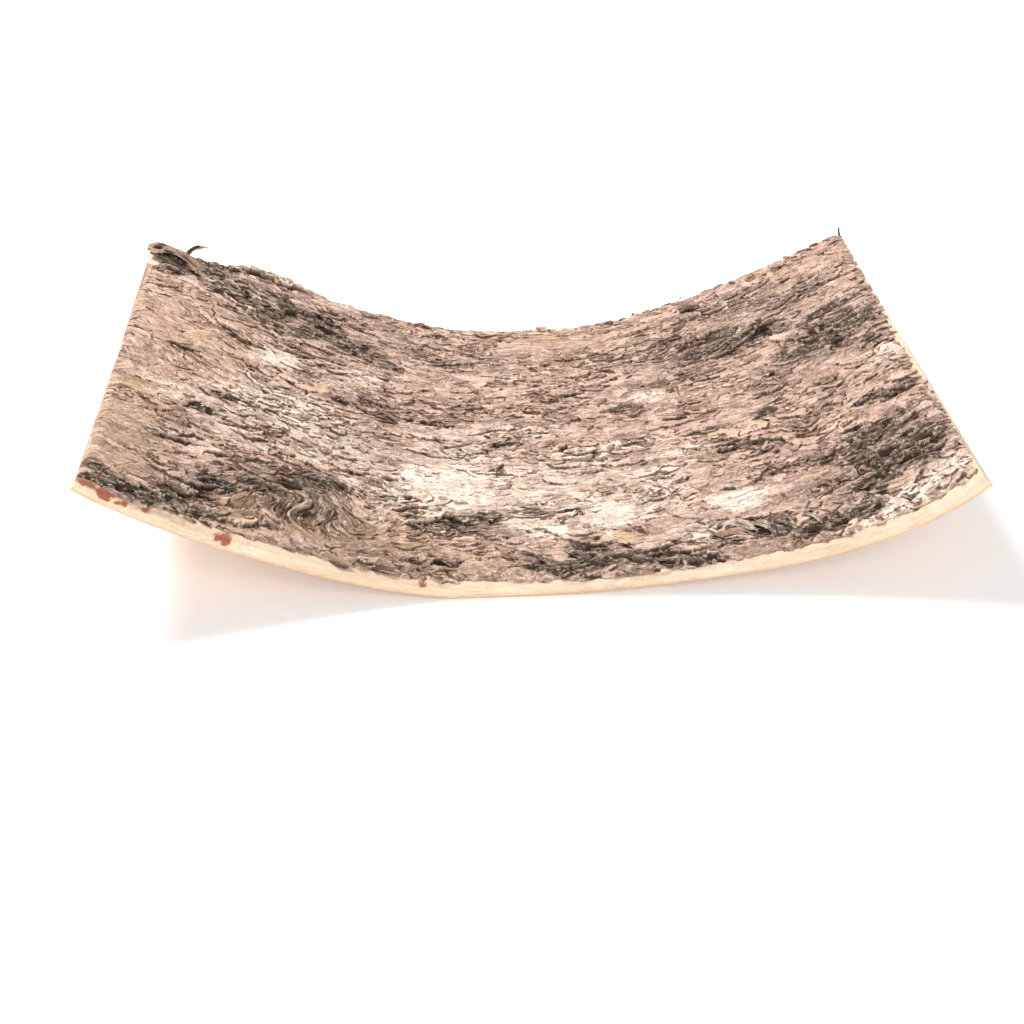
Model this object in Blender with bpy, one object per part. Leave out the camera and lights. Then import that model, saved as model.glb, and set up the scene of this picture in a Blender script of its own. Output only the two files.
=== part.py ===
"""One sheet of birch-type bark, peeled, dried and curled, lying with its rough outer side up.

The sheet curls along X and is straight, though slightly twisted, along Y. Its underside is the
smooth inner face. Its belly, the lowest strip, is pressed flat, so the sheet stands still on it.
Metres, +Z up; the origin is on the resting plane, under the middle of the sheet.
"""

import bpy
import bmesh
import numpy as np
from mathutils import Vector, noise

# Driving dimensions
ARC = 0.303             # length of the sheet along its curl
DEPTH = 0.200           # width of the sheet, front edge to back edge
THICKNESS = 0.0062      # bark thickness between the relief's ups and downs
BELLY_PRESS = 0.0010    # how deep the lowest strip is pressed flat

# Slope of the underside in degrees, at even steps along the curl from the -X end to the +X end.
# Between two steps the slope changes evenly, which makes each stretch a circular arc.
FRONT_SLOPES = (-34.5, -24.0, -20.0, -11.0, 3.5, 5.5, 8.5, 20.5, 41.0)
BACK_SLOPES = (-6.0, -19.0, -24.0, -13.0, -3.0, 9.5, 20.5, 24.0, 23.5)

# Outer bark
RELIEF = 0.0011         # height of the crust's swells, up or down
SWELLS = (26.0, 70.0)   # swells per metre along the curl and across it
FRONT_RIM_DROP = 0.0016 # how much lower the crust ends at the trimmed front edge
RIM_DROP = 0.0005       # and at the other edges

# The torn flap that curls up over the back corner at -X
FLAP_CORNER = (-0.143, 0.100)   # along the curl, and Y
FLAP_REACH = (0.022, 0.013)     # along the curl, and Y
FLAP_HEIGHT = 0.0072

# Outline waviness of the cut edges
EDGE_WAVE = 0.0009

# Mesh resolution
CELLS_ALONG = 44
CELLS_ACROSS = 28
CURVE_STEPS = 600

BARK_COLOUR = (0.47, 0.35, 0.27, 1.0)


def edge_curve(slopes):
    """Trace one edge of the underside: its X, its Z and its slope at even steps along the curl."""
    stations = np.linspace(-ARC / 2, ARC / 2, len(slopes))
    along = np.linspace(-ARC / 2, ARC / 2, CURVE_STEPS + 1)
    slope = np.radians(np.interp(along, stations, slopes))
    step = ARC / CURVE_STEPS
    middle = (slope[1:] + slope[:-1]) / 2
    x = np.concatenate(([0.0], np.cumsum(np.cos(middle)) * step))
    z = np.concatenate(([0.0], np.cumsum(np.sin(middle)) * step))
    return along, x - (x[0] + x[-1]) / 2, z - z.min(), slope


FRONT = edge_curve(FRONT_SLOPES)
BACK = edge_curve(BACK_SLOPES)


def on_sheet(along, across):
    """Return X, Z and slope of the underside; across runs from 0 at the front to 1 at the back."""
    values = []
    for row in (1, 2, 3):
        front = np.interp(along, FRONT[0], FRONT[row])
        back = np.interp(along, BACK[0], BACK[row])
        values.append(front + (back - front) * across)
    x, z, slope = values
    return x, max(z - BELLY_PRESS, 0.0), slope


def flap(along, y):
    """Height of the curled flap above the crust, a smooth hump by the back corner."""
    distance = np.hypot((along - FLAP_CORNER[0]) / FLAP_REACH[0], (y - FLAP_CORNER[1]) / FLAP_REACH[1])
    return FLAP_HEIGHT * max(1.0 - distance, 0.0) ** 0.7


def crust_height(along, y, rim_drop):
    """Thickness of the bark at one point, with the swells of its outer side."""
    swell = noise.noise(Vector((along * SWELLS[0], y * SWELLS[1], 3.7)))
    ripple = noise.noise(Vector((along * SWELLS[0] * 3.0, y * SWELLS[1] * 2.0, 9.1)))
    return THICKNESS + RELIEF * (swell + 0.5 * ripple) + flap(along, y) - rim_drop


def edge_wave(position, phase):
    """Small sideways wander of a cut edge."""
    return EDGE_WAVE * np.sin(position * 47.0 + phase) * np.cos(position * 19.0 - 2.0 * phase)


def place(flat):
    """Bend one point of the flat block (X and Y from -0.5 to 0.5, Z 0 or 1) into the sheet."""
    at_rim = max(abs(flat.x), abs(flat.y)) > 0.499
    at_front = flat.y < -0.499
    rim_drop = FRONT_RIM_DROP if at_front else RIM_DROP * at_rim
    y = flat.y * (DEPTH - 2 * EDGE_WAVE) + 2 * flat.y * edge_wave(flat.x * ARC, 0.6 + flat.y)
    along = flat.x * (ARC - 2 * EDGE_WAVE) + 2 * flat.x * edge_wave(flat.y * DEPTH, 2.1 + flat.x)
    x, z, slope = on_sheet(along, flat.y + 0.5)
    lift = crust_height(along, y, rim_drop) * flat.z
    return Vector((x - np.sin(slope) * lift, y, z + np.cos(slope) * lift))


def bark_material():
    """Rough, dry bark."""
    material = bpy.data.materials.new("bark")
    material.use_nodes = True
    shader = material.node_tree.nodes["Principled BSDF"]
    shader.inputs["Base Color"].default_value = BARK_COLOUR
    shader.inputs["Roughness"].default_value = 0.9
    shader.inputs["Metallic"].default_value = 0.0
    return material


def bark_sheet():
    """Model the sheet: a flat grid, thickened, then bent along its curl."""
    bm = bmesh.new()
    bmesh.ops.create_grid(bm, x_segments=CELLS_ALONG, y_segments=CELLS_ACROSS, size=0.5)
    crust = bmesh.ops.extrude_face_region(bm, geom=bm.faces[:], use_keep_orig=True)
    crust_verts = [item for item in crust["geom"] if isinstance(item, bmesh.types.BMVert)]
    bmesh.ops.translate(bm, verts=crust_verts, vec=(0.0, 0.0, 1.0))
    for vert in bm.verts:
        vert.co = place(vert.co)
    bmesh.ops.recalc_face_normals(bm, faces=bm.faces[:])
    mesh = bpy.data.meshes.new("bark_sheet")
    bm.to_mesh(mesh)
    bm.free()
    mesh.shade_smooth()
    mesh.set_sharp_from_angle(angle=np.radians(50.0))
    mesh.materials.append(bark_material())
    return bpy.data.objects.new("bark_sheet", mesh)


def main():
    for leftover in list(bpy.data.objects):
        bpy.data.objects.remove(leftover)
    collection = bpy.data.collections.new("piece_of_bark")
    bpy.context.scene.collection.children.link(collection)
    collection.objects.link(bark_sheet())


main()
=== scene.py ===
"""A curled sheet of dry birch-type bark: cream inner bark, a rough layered outer crust, lifted
scales, torn peels, splinters and a curled corner flap.

The sheet has its own coordinates, used all through: s runs along the curl and y across it, and h
is the height above the underside, along the sheet's normal. All three are in millimetres.
"""

import math

import bpy
import bmesh
import numpy as np
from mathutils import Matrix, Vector


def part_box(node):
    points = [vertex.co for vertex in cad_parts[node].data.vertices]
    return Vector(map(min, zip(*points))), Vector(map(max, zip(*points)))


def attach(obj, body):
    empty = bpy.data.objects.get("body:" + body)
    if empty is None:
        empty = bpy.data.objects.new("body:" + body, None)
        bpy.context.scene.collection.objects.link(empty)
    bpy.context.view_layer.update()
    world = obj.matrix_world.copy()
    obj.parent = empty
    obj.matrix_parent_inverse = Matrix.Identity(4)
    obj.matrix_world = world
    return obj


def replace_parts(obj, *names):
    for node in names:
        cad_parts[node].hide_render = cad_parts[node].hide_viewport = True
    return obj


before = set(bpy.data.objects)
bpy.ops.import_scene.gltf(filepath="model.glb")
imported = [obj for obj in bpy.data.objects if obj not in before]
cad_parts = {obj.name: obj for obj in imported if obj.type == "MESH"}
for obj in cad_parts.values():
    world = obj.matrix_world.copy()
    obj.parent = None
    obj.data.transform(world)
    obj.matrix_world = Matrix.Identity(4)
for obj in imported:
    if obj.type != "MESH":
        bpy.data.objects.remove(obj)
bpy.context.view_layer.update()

MM = 0.001
LOW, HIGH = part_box("bark_sheet")

# The sheet's curl: slopes of its underside at even steps, as the solid has them
ARC = 303.0
DEPTH = (HIGH.y - LOW.y) / MM
FRONT_SLOPES = (-34.5, -24.0, -20.0, -11.0, 3.5, 5.5, 8.5, 20.5, 41.0)
BACK_SLOPES = (-6.0, -19.0, -24.0, -13.0, -3.0, 9.5, 20.5, 24.0, 23.5)
BELLY_PRESS = 1.0
CURVE_STEPS = 600
HALF_ARC = ARC / 2 - 0.9
HALF_DEPTH = DEPTH / 2 - 0.3

# Layers
INNER_TOP = 4.5          # thickness of the cream inner bark
CRUST = 1.35             # thickness of the outer crust over it
BARE_SINK = 0.35         # how far the crust dives under the inner bark where it is torn away
WALL_REACH = 2.4         # how far the texture runs on down the crust's side walls
GRID_RIM = 0.4999        # past this a vertex lies on the rim of a flat grid one unit wide

# Raster on which the crust's scales are laid
CELL_S = 0.25
CELL_Y = 0.36

# Torn scales of the crust, large to small: how many, half length in millimetres, and its spread,
# how far they lie from the mean level, and how steeply they tilt
SCALE_SIZES = (
    (320, 7.5, 0.30, 0.60, 0.70),
    (2300, 3.5, 0.35, 0.62, 0.70),
    (5200, 1.8, 0.35, 0.50, 0.50),
    (3600, 0.95, 0.30, 0.34, 0.30),
)

# Bare rims: width of cream that shows inside the cut edge, at places along it
FRONT_RIM = (
    (-151, 2.5), (-146, 3.8), (-140, 1.6), (-130, 2.0), (-122, 4.5), (-116, 6.5), (-105, 5.5),
    (-95, 4.0), (-80, 4.2), (-60, 3.6), (-40, 3.2), (-20, 2.6), (0, 2.2), (12, 1.6), (20, 0.3),
    (35, 0.2), (42, 1.6), (55, 1.2), (64, 2.6), (72, 1.4), (80, 2.2), (95, 2.6), (105, 3.4),
    (115, 4.6), (125, 3.8), (140, 3.8), (151, 3.0),
)
RIGHT_RIM = (
    (-100, 3.0), (-92, 1.6), (-84, 0.6), (-70, 0.5), (-40, 0.8), (-20, 1.8), (0, 2.0), (20, 1.6),
    (40, 1.2), (60, 0.7), (80, 0.3), (100, 0.1),
)

# Stains and worn places: s, y, reach along s, reach along y, strength, and a turn in degrees where one
# doesn't lie along s
CHARCOAL = (
    (-132, -92.5, 17, 4.5, 1.1, 8), (-120, -86, 12, 5, 0.9, 20), (-108, -73, 9, 5, 0.9),
    (-92, -66, 8, 4, 0.9), (-147, -88, 4, 5, 0.8), (-112, -92, 8, 4, 0.6), (-84, -60, 5, 4, 0.9),
    (-72, -52, 24, 7, 0.6, 5), (-39, -64, 6, 6, 0.8), (-19, -61, 14, 8, 0.8, 15), (-131, -54, 5, 2.5, 0.7),
    (-116, -27, 7, 3, 0.8), (-111, -14, 7, 3, 0.8), (-68, 11, 6, 5, 0.7, 60), (-58, 14, 7, 8, 0.65, 60),
    (-53, 52, 7, 6, 0.6), (-68, 57, 6, 7, 1.0, 60), (-84, 57, 6, 5, 1.1), (-80, 74, 5, 8, 1.1, 70),
    (-94, 76, 4.5, 11, 1.1, 10), (-110, 69, 9, 8, 1.15, -50), (-129, 85, 5, 14, 1.15, 12),
    (-139, 81, 6, 4, 0.8), (-120, 92, 6, 8, 0.5), (2, -56, 8, 3, 0.7), (19, -83, 9, 9, 0.85),
    (3, -90, 7, 6, 0.8, -30), (38, -91, 16, 7, 0.75), (51, -96, 12, 3, 0.9), (66, -88, 5, 5, 0.9),
    (77, -84, 6, 6, 1.1), (80, -88, 12, 4, 0.6), (130, -66, 26, 15, 0.75, 10), (112, -86, 12, 6, 0.75, 15),
    (103, 47, 10, 9, 0.8), (127, 32, 12, 6, 0.9, 15), (132, 42, 20, 5, 0.65, 10), (118, 17, 26, 8, 0.5),
    (42, 15, 8, 5, 0.6), (70, -14, 14, 2, 0.7), (93, -13, 5, 6, 0.6, -40), (80, -31, 14, 2, 0.7),
    (138, -30, 14, 4, 0.7, -5), (70, 62, 16, 12, 0.45), (120, 62, 22, 9, 0.5, 5), (60, 32, 26, 8, 0.35),
    (-8, 66, 18, 10, 0.3), (140, 8, 12, 8, 0.45), (60, 60, 36, 20, 0.33), (108, 62, 30, 18, 0.36, 5),
    (-80, -66, 28, 18, 0.4), (-112, 82, 16, 12, 0.45, -20), (-88, 72, 16, 14, 0.4, -30),
    (-40, 76, 22, 12, 0.3), (116, -64, 30, 22, 0.35, 10), (-45, -88, 30, 9, 0.3),
    (126, 26, 26, 16, 0.65, 10), (84, 50, 28, 16, 0.6, 5), (88, 78, 26, 12, 0.4),
    (124, -52, 24, 12, 0.6, 10), (110, 74, 22, 10, 0.4), (-124, 84, 12, 9, 0.9, -20),
    (-103, 66, 16, 9, 0.8, -30), (-76, 64, 10, 12, 0.8, 30), (-118, 74, 10, 6, 0.9, -30),
    (-60, 60, 14, 8, 0.6), (-30, 62, 16, 6, 0.45), (96, -90, 16, 5, 0.7, 12), (14, -92, 20, 5, 0.8),
)
PALE = (
    (-30, -38, 24, 20, 1.0, 20), (-46, -52, 10, 6, 0.9, 20), (-27, -16, 20, 9, 0.6, 10),
    (12, -52, 22, 10, 0.75), (27, -60, 11, 13, 0.9), (6, -69, 12, 6, 0.9), (73, -64, 15, 6, 0.8, 5),
    (32, -15, 22, 5, 0.7, 5), (45, -39, 14, 7, 0.6), (60, -24, 16, 5, 0.5), (137, -88, 17, 6, 1.0, 12),
    (112, -94, 14, 4, 0.9, 8), (55, -80, 9, 7, 0.7), (-95, 28, 12, 10, 0.75, 30), (-60, 33, 20, 9, 0.4, 30),
    (-110, -24, 14, 8, 0.4), (2, 50, 4, 4, 0.7), (53, 22, 8, 5, 0.7, -30), (-75, -22, 24, 8, 0.4, 10),
    (0, -28, 34, 12, 0.5), (-10, 2, 40, 8, 0.3), (-98, -38, 20, 8, 0.35), (-52, -70, 4, 4, 0.8),
    (142, -4, 8, 10, 0.5), (-98, 97.5, 18, 3.2, 0.9), (-90, -8, 30, 14, 0.75, 10),
    (-66, -30, 22, 10, 0.65, 10), (-30, -38, 34, 26, 0.6, 15), (20, -50, 46, 22, 0.45),
    (-126, -20, 12, 8, 0.4), (-112, -52, 12, 8, 0.4), (124, -92, 20, 5, 0.9, 6), (100, -93, 10, 3, 0.7, 8),
)
WARM = (
    (-140, -50, 16, 50, 0.8), (-133, 30, 20, 40, 0.8, 25), (-112, 24, 14, 16, 0.6), (-98, -84, 9, 15, 1.0),
    (-60, -80, 34, 16, 1.0), (-104, -45, 30, 12, 0.4), (25, 82, 34, 14, 0.75), (6, 54, 4, 3, 1.0),
    (130, 84, 20, 13, 0.6), (-20, -88, 26, 10, 0.7), (88, 40, 12, 20, 0.3), (-124, -88, 5, 4, 0.7),
    (-142, 64, 10, 16, 0.6), (0, -96, 12, 4, 0.6),
)
SMOOTH = (
    (-143, -62, 17, 32, 0.95), (-140, 0, 14, 40, 0.7), (-134, 38, 16, 26, 0.6, 25), (25, 82, 32, 13, 0.65),
    (130, 84, 22, 14, 0.65), (27, -62, 10, 13, 0.85), (8, -69, 14, 7, 0.8), (-32, -36, 16, 15, 0.55, 20),
    (-95, 28, 11, 9, 0.7, 30), (77, -88, 10, 5, 0.8), (40, -92, 12, 5, 0.7),
)

# Middles and reaches, along s and y, of the knot, the bowl in it and the lump on its left
KNOT = (-75.0, -73.0)
KNOT_REACH = (20.0, 15.0)
COIL_REACH = 13.0        # how far out the grain is wound round the knot
COIL_TURN = 2.3          # and how far round, in radians
BOWL_DEPTH = 0.9
LUMP = (-98.0, -83.0)
LUMP_REACH = (5.5, 10.0)
LUMP_HEIGHT = 1.7

# Where the crust is torn away at the back left corner: s, y, reach along s, reach along y
BARE_CORNER = (-146.0, 93.0, 7.0, 8.5)

# A loose strip stands up along the back edge: s where it rises and sinks, its height, and the y of
# the crack in front of it
STRIP_RISES = (-122, -114)
STRIP_SINKS = (-76, -100)
STRIP_HEIGHT = 2.1
STRIP_CRACK = 93.9

# Red-brown inner film that still clings to the front rim: s, y, and reach
FILM_PATCHES = (
    (-147.5, -98.3, 2.6), (-141.0, -99.4, 2.4), (-138.0, -97.8, 2.2), (-134.6, -99.8, 2.6),
    (-103.5, -99.8, 2.6), (-101.5, -98.4, 1.8), (-37.0, -98.2, 1.4), (-128.0, -98.0, 1.3),
)

# Larger cracks under lifted flakes, all in millimetres: how many, and the least and most of each size
SPLIT_COUNT = 34
SPLIT_LENGTH = (7.0, 17.0)
SPLIT_BREADTH = (1.1, 2.2)
SPLIT_DEPTH = (0.8, 1.1)
SPLIT_MARGIN = 9.0       # how far their middles keep from the sheet's edges

# Dark dirt on the bare rim, in rows like the stains'
RIM_DIRT = (
    (-134, -97.5, 13, 2.4, 1.0), (-120, -96.5, 9, 3.0, 1.0), (-147, -97.0, 3, 3.0, 0.8),
    (-112, -96.0, 6, 2.4, 0.6), (60, -98.0, 9, 1.8, 0.6), (-92, -97.0, 6, 1.6, 0.5),
    (36, -99.0, 14, 1.4, 0.6), (102, -97.0, 10, 2.0, 0.35), (-60, -97.5, 9, 1.4, 0.35),
)


# ---------------------------------------------------------------- noise

LATTICES = {}


def lattice(seed):
    """A wrap-around table of random values, the same each run for a seed."""
    if seed not in LATTICES:
        LATTICES[seed] = np.random.default_rng(seed).uniform(-1.0, 1.0, (256, 256))
    return LATTICES[seed]


def noise(x, y, seed):
    """Smooth random values from -1 to 1, with features about one unit across."""
    table = lattice(seed)
    x, y = np.broadcast_arrays(np.asarray(x, float), np.asarray(y, float))
    left, low = np.floor(x).astype(int), np.floor(y).astype(int)
    u, v = x - left, y - low
    u, v = u * u * (3 - 2 * u), v * v * (3 - 2 * v)
    near = table[low & 255, left & 255] * (1 - u) + table[low & 255, (left + 1) & 255] * u
    far = table[(low + 1) & 255, left & 255] * (1 - u) + table[(low + 1) & 255, (left + 1) & 255] * u
    return near * (1 - v) + far * v


def layered_noise(x, y, seed, octaves=3):
    """Noise with finer, weaker layers added."""
    total = 0.0
    for octave in range(octaves):
        total = total + noise(x * 2 ** octave + 17 * octave, y * 2 ** octave, seed + octave) / 2 ** octave
    return total / 1.5


def rise(low, high, value):
    """Smooth step from 0 at low to 1 at high."""
    t = np.clip((value - low) / (high - low), 0.0, 1.0)
    return t * t * (3 - 2 * t)


# ---------------------------------------------------------------- the sheet's surface

def edge_curve(slopes):
    """X, Z and slope of one edge of the underside, at even steps along the curl."""
    stations = np.linspace(-ARC / 2, ARC / 2, len(slopes))
    along = np.linspace(-ARC / 2, ARC / 2, CURVE_STEPS + 1)
    slope = np.radians(np.interp(along, stations, slopes))
    step = ARC / CURVE_STEPS
    middle = (slope[1:] + slope[:-1]) / 2
    x = np.concatenate(([0.0], np.cumsum(np.cos(middle)) * step))
    z = np.concatenate(([0.0], np.cumsum(np.sin(middle)) * step))
    return along, x - (x[0] + x[-1]) / 2, z - z.min(), slope


FRONT = edge_curve(FRONT_SLOPES)
BACK = edge_curve(BACK_SLOPES)


def on_sheet(s, y, h):
    """World positions, in metres, of points at height h above the underside."""
    across = np.clip(y / DEPTH + 0.5, 0.0, 1.0)
    x, z, slope = (
        np.interp(s, FRONT[0], FRONT[row]) * (1 - across) + np.interp(s, BACK[0], BACK[row]) * across
        for row in (1, 2, 3)
    )
    z = np.maximum(z - BELLY_PRESS, 0.0)
    return np.stack((x - np.sin(slope) * h, y + 0 * s, z + np.cos(slope) * h), -1) * MM


def stains(s, y, places, seed):
    """How strongly a point lies in one of the places, with ragged outlines."""
    ragged = 0.38 * layered_noise(s / 7, y / 4, seed) + 0.22 * noise(s / 1.9, y / 1.1, seed + 7)
    total = np.zeros(np.broadcast(s, y).shape)
    for s0, y0, reach_s, reach_y, strength, *turn in places:
        angle = math.radians(sum(turn))
        c, n = math.cos(angle), math.sin(angle)
        p = ((s - s0) * c + (y - y0) * n) / reach_s
        q = ((y - y0) * c - (s - s0) * n) / reach_y
        total = np.maximum(total, strength * rise(1.25, 0.45, np.hypot(p, q) + ragged))
    return total


def grain(s, y):
    """Coordinate that is constant along the bark's grain, which dips at the left and coils at the knot."""
    dip = 0.42 * np.minimum(s + 96, 0) * rise(-25, 15, y)
    ds, dy = s - KNOT[0], y - KNOT[1]
    swirl = COIL_TURN * np.exp(-(ds ** 2 + 1.3 * dy ** 2) / (2 * COIL_REACH ** 2))
    wander = 2.0 * layered_noise(s / 26, y / 16, 301, 2) + 0.8 * noise(s / 8, y / 6, 304)
    return KNOT[1] + dy * np.cos(swirl) + ds * np.sin(swirl) + dip + wander


def rim_gaps(s, y):
    """Millimetres of crust between a point and the torn rims, and between it and any bare place."""
    front = np.interp(s, *zip(*FRONT_RIM))
    jag = 1.5 * layered_noise(s / 7, y / 4, 311) + 0.8 * noise(s / 1.7, y / 1.6, 312)
    front_gap = (y + HALF_DEPTH) - np.maximum(front * 0.82 + jag, 0.15)
    right = np.interp(y, *zip(*RIGHT_RIM))
    tear = 1.3 * layered_noise(s / 7, y / 2.4, 313) + 1.0 * noise(s / 3, y / 1.3, 314)
    right_gap = (HALF_ARC - s) - np.maximum(right * 0.9 + tear, 0.1)
    left_gap = (s + HALF_ARC) - (0.35 + 0.25 * noise(0, y / 9, 315))
    s0, y0, reach_s, reach_y = BARE_CORNER
    corner_gap = (np.hypot((s - s0) / reach_s, (y - y0) / reach_y) - 1) * 7
    corner_gap = corner_gap + 0.5 * noise(s / 2, y / 2, 316)
    torn = np.minimum(front_gap, right_gap)
    rim = np.minimum(torn, np.minimum(left_gap + 0.8, HALF_DEPTH - y + 2.6))
    return rim, np.minimum(np.minimum(torn, left_gap), corner_gap)


def inner_top(s, y):
    """Height of the cream inner bark's outer side: a sheet with softened rims, thick at one corner."""
    from_edge = np.minimum(HALF_DEPTH - np.abs(y), HALF_ARC - np.abs(s))
    rim = np.clip(1 - from_edge / 3.0, 0, 1)
    corner = np.exp(-((s - BARE_CORNER[0]) / 12) ** 2 - ((y - 100) / 14) ** 2)
    swell = 0.25 * layered_noise(s / 20, y / 9, 321, 2)
    return INNER_TOP + swell - 0.9 * rim ** 2 * (1 - corner) + 1.5 * corner


# ---------------------------------------------------------------- the crust's relief

RASTER_S = np.arange(-ARC / 2, ARC / 2 + CELL_S, CELL_S)
RASTER_Y = np.arange(-DEPTH / 2, DEPTH / 2 + CELL_Y, CELL_Y)


def soften(field, cells_y, cells_s):
    """Average a raster over a box of cells."""
    for axis, reach in ((0, cells_y), (1, cells_s)):
        padding = [(0, 0), (0, 0)]
        padding[axis] = (reach + 1, reach)
        sums = np.cumsum(np.pad(field, padding, mode="edge"), axis=axis)
        count = 2 * reach + 1
        ahead = np.take(sums, range(count, sums.shape[axis]), axis=axis)
        behind = np.take(sums, range(0, sums.shape[axis] - count), axis=axis)
        field = (ahead - behind) / count
    return field


def grain_slope(lie):
    """How far the grain strays in y for each millimetre of s, with its sign turned."""
    return np.gradient(lie, CELL_S, axis=1) / np.gradient(lie, CELL_Y, axis=0)


def lay_scales(height, shades, roughness, s, y):
    """Lay overlapping torn scales over the relief, each with its front edge lifted over the last."""
    rng = np.random.default_rng(40)
    lie = grain(s, y)
    slope = np.clip(grain_slope(lie), -2.5, 2.5)
    ragged = 0.16 * noise(s / 2.4, lie / 0.8, 61) + 0.45 * layered_noise(s / 5.2, y / 3.6, 62, 2)
    floor = height.copy()
    for count, length, spread, depth, steep in SCALE_SIZES:
        centre_s = rng.uniform(-ARC / 2, ARC / 2, count)
        centre_y = rng.uniform(-DEPTH / 2, DEPTH / 2, count)
        half_length = length * np.exp(rng.normal(0, spread, count))
        half_width = half_length * rng.uniform(0.24, 0.66, count) + 0.2
        turn = rng.normal(0, 0.3, count)
        level = depth * rng.uniform(-1.1, 1.0, count)
        tilt = steep * rng.uniform(0.25, 1.1, count) * np.where(rng.uniform(size=count) < 0.74, -1, 1)
        bow = rng.uniform(-0.15, 0.35, count)
        lip = rng.uniform(0.0, 0.4, count)
        shade, tint = rng.uniform(0, 1, count), rng.uniform(0, 1, count)
        for i in range(count):
            column = int((centre_s[i] + ARC / 2) / CELL_S)
            row = int((centre_y[i] + DEPTH / 2) / CELL_Y)
            rough = roughness[row, column]
            a, b = half_length[i], half_width[i]
            angle = turn[i] - math.atan(slope[row, column])
            far = 1.35 * math.hypot(a * math.cos(angle), b * math.sin(angle))
            near = 1.35 * math.hypot(a * math.sin(angle), b * math.cos(angle))
            rows = slice(max(row - int(near / CELL_Y), 0), row + int(near / CELL_Y) + 1)
            columns = slice(max(column - int(far / CELL_S), 0), column + int(far / CELL_S) + 1)
            ds, dy = s[rows, columns] - centre_s[i], y[rows, columns] - centre_y[i]
            p = (ds * math.cos(angle) + dy * math.sin(angle)) / a
            q = (dy * math.cos(angle) - ds * math.sin(angle)) / b
            edge = np.abs(p) ** 2.1 + np.abs(q) ** 2.1 + ragged[rows, columns]
            front = q * math.copysign(1, tilt[i])
            curled = lip[i] * rise(0.45, 1.0, edge) * rise(-0.3, 0.5, front)
            scale = floor[row, column] + rough * (level[i] + tilt[i] * q + bow[i] * p * p + curled)
            here = height[rows, columns]
            thinned = scale - 0.5 * rough * rise(0.82, 1.0, edge) ** 3
            wins = (edge < 1) & (thinned > here)
            height[rows, columns] = np.where(wins, thinned, here)
            # Painted shadow in a band just outside each scale's lifted front edge, over the surface below it
            under = rise(1 + min(2.6 / min(a, b), 1.9), 1.0, edge) * (edge >= 1)
            under = under * np.clip((scale - here) / 0.5, 0, 1) * rise(-0.25, 0.75, front)
            # Each scale's random tone, with painted light: lighter towards its lifted front edge, darker
            # where it tucks under
            gradient = 0.5 + (0.8 * shade[i] - 0.42 + 0.2 * front) * min(rough + 0.3, 1)
            # Painted highlight along each scale's lifted front lip
            for key, value in (
                ("tone", gradient), ("tint", tint[i]),
                ("painted_highlight", rise(0.5, 0.95, edge) * rise(-0.2, 0.6, front) * rough),
            ):
                shades[key][rows, columns] = np.where(wins, value, shades[key][rows, columns])
            shadow = shades["painted_shade"][rows, columns]
            shades["painted_shade"][rows, columns] = np.where(wins, 0, np.maximum(shadow, under))


def knot_relief(s, y):
    """How far a point lies in the knot, its coiled ridges, and the lump and bowl beside them."""
    ds, dy = s - KNOT[0], y - KNOT[1]
    inside = np.exp(-((ds + 6) / KNOT_REACH[0]) ** 2 - ((dy + 1) / KNOT_REACH[1]) ** 2)
    lie = grain(s, y)
    ridges = 1 - np.abs(noise(s / 11, lie / 1.7, 332)) * 2.6
    from_lump = ((s - LUMP[0]) / LUMP_REACH[0]) ** 2 + ((y - LUMP[1]) / LUMP_REACH[1]) ** 2
    bowl = BOWL_DEPTH * np.exp(-(ds ** 2 + dy ** 2) / 80)
    return inside, ridges, LUMP_HEIGHT * np.exp(-from_lump) - bowl


def torn_splits(s, y, lie, roughness):
    """Larger cracks along the grain of the rough places, and the lifted lip behind each."""
    rng = np.random.default_rng(52)
    slope = np.clip(grain_slope(lie), -0.8, 0.8)
    wobble = 0.7 * noise(s / 3.5, y / 3, 341) + 0.3 * noise(s / 1.2, y / 1.2, 342)
    depth, lip = 0 * s, 0 * s
    for _ in range(SPLIT_COUNT):
        s0 = rng.uniform(SPLIT_MARGIN - HALF_ARC, HALF_ARC - SPLIT_MARGIN)
        y0 = rng.uniform(SPLIT_MARGIN - HALF_DEPTH, HALF_DEPTH - SPLIT_MARGIN)
        length, breadth, deep = (rng.uniform(*span) for span in (SPLIT_LENGTH, SPLIT_BREADTH, SPLIT_DEPTH))
        row, column = int((y0 + DEPTH / 2) / CELL_Y), int((s0 + ARC / 2) / CELL_S)
        angle = rng.normal(0, 0.12) - math.atan(slope[row, column])
        c, n = math.cos(angle), math.sin(angle)
        along = ((s - s0) * c + (y - y0) * n) / length + 0.5
        aside = (y - y0) * c - (s - s0) * n + wobble
        half = breadth / 2 * np.sqrt(np.clip(4 * along * (1 - along), 0, 1)) + 1e-6
        inside = (along > 0) * (along < 1) * rise(0.25, 0.6, roughness[row, column])
        depth = np.maximum(depth, deep * inside * rise(1.25, 0.5, np.abs(aside) / half))
        lip = np.maximum(lip, inside * rise(0.8, 1.3, aside / half) * rise(1.1 + half, half, aside))
    return depth, lip


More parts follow.
